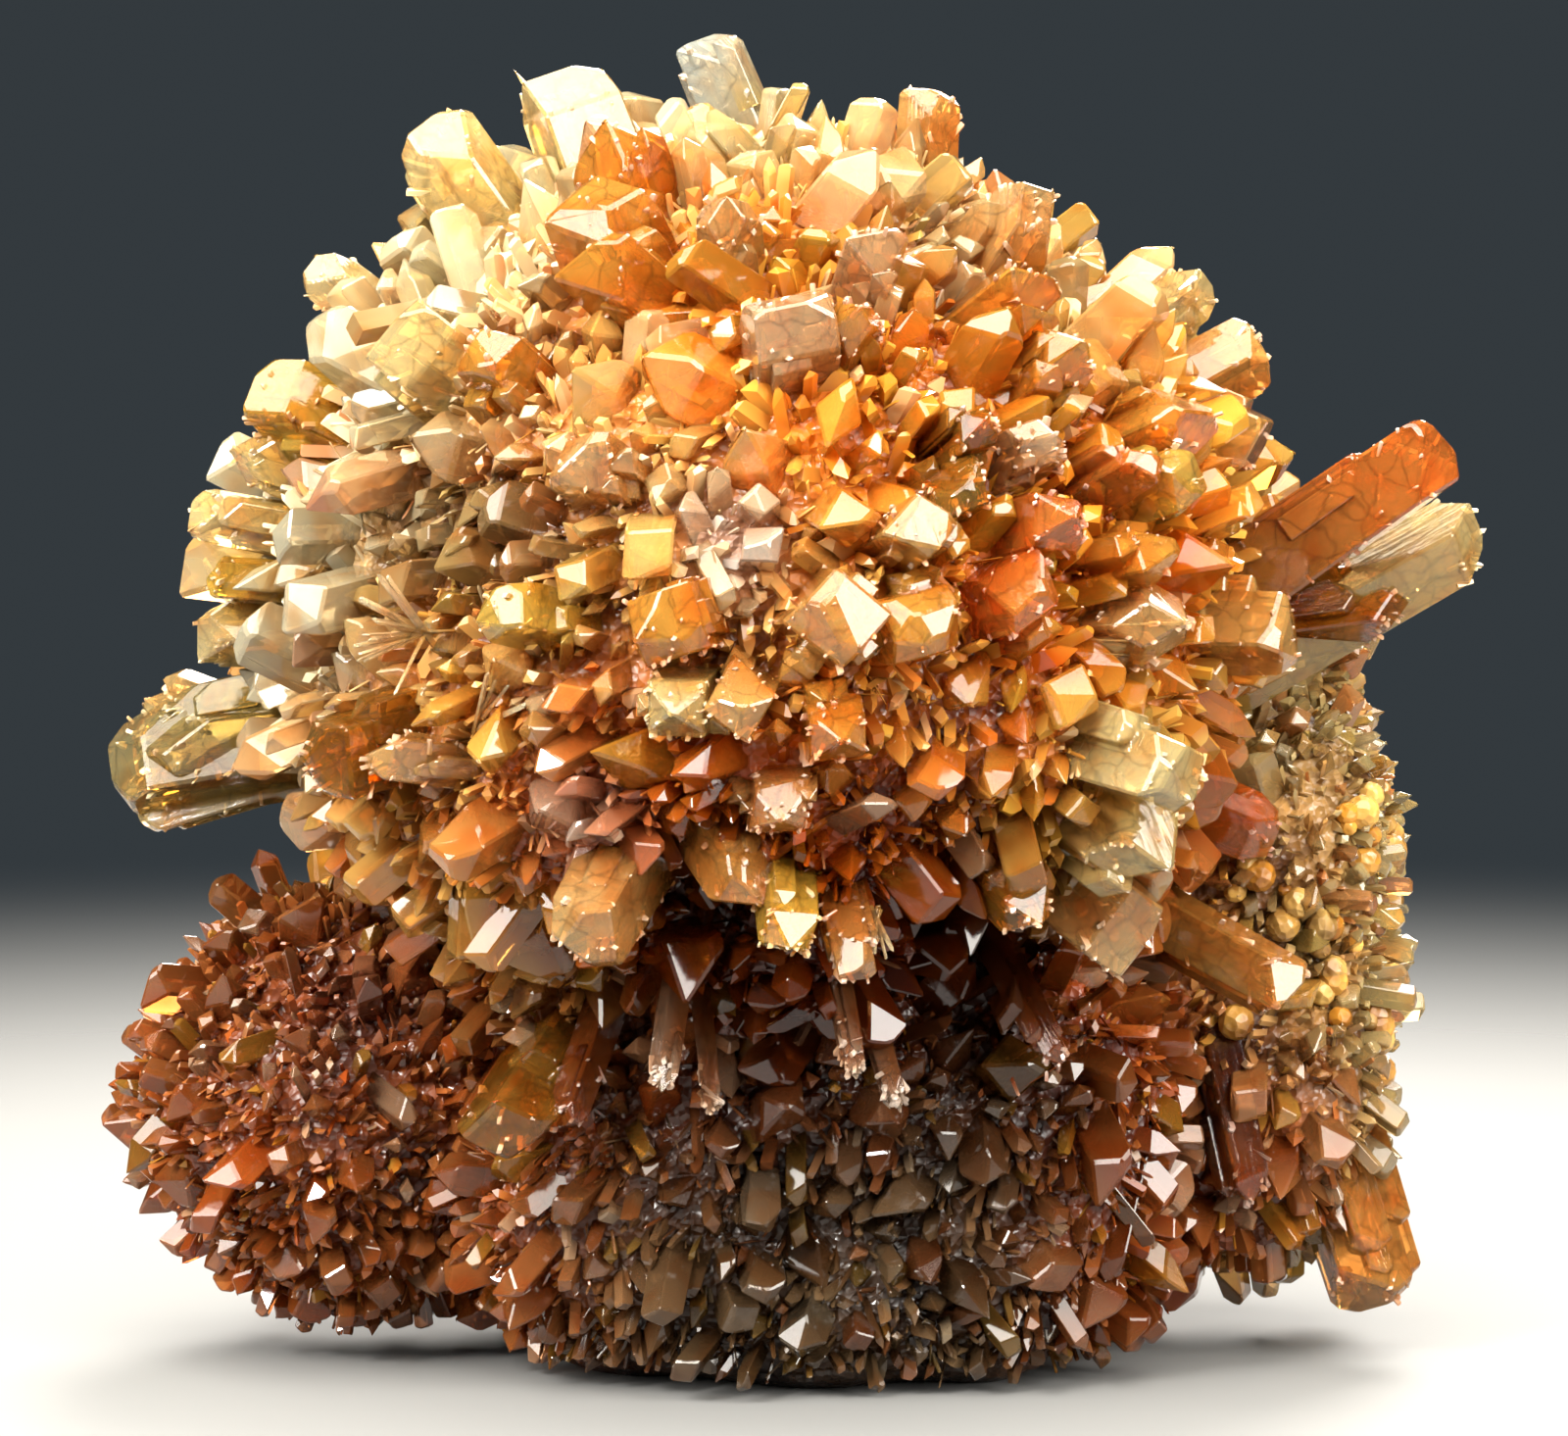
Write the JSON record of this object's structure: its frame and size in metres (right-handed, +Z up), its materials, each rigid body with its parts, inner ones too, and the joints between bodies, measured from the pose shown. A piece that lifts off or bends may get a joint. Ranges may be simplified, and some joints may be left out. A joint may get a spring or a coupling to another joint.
{
  "type": "creedite cluster",
  "caption": "Rounded cluster of stout orange and pale yellow creedite crystals, grown together, resting on a small flat spot.",
  "frame": {"origin": "on the small flat spot that the cluster rests on, under the middle of the cluster", "axes": "+Z up, square to the flat spot; the best side, with the large crystals, faces -Y; +X to the right of that side"},
  "size_m": [0.0459, 0.0361, 0.044],
  "materials": {
    "crystal": "glassy, half clear, orange to pale yellow",
    "clear_crystal": "glassy, see-through, stained orange from the root",
    "druse": "sugary, sparkling, red-brown to yellow-grey"
  },
  "bodies": {
    "root": {"creedite_cluster": "crystal"}
  },
  "joints": []
}
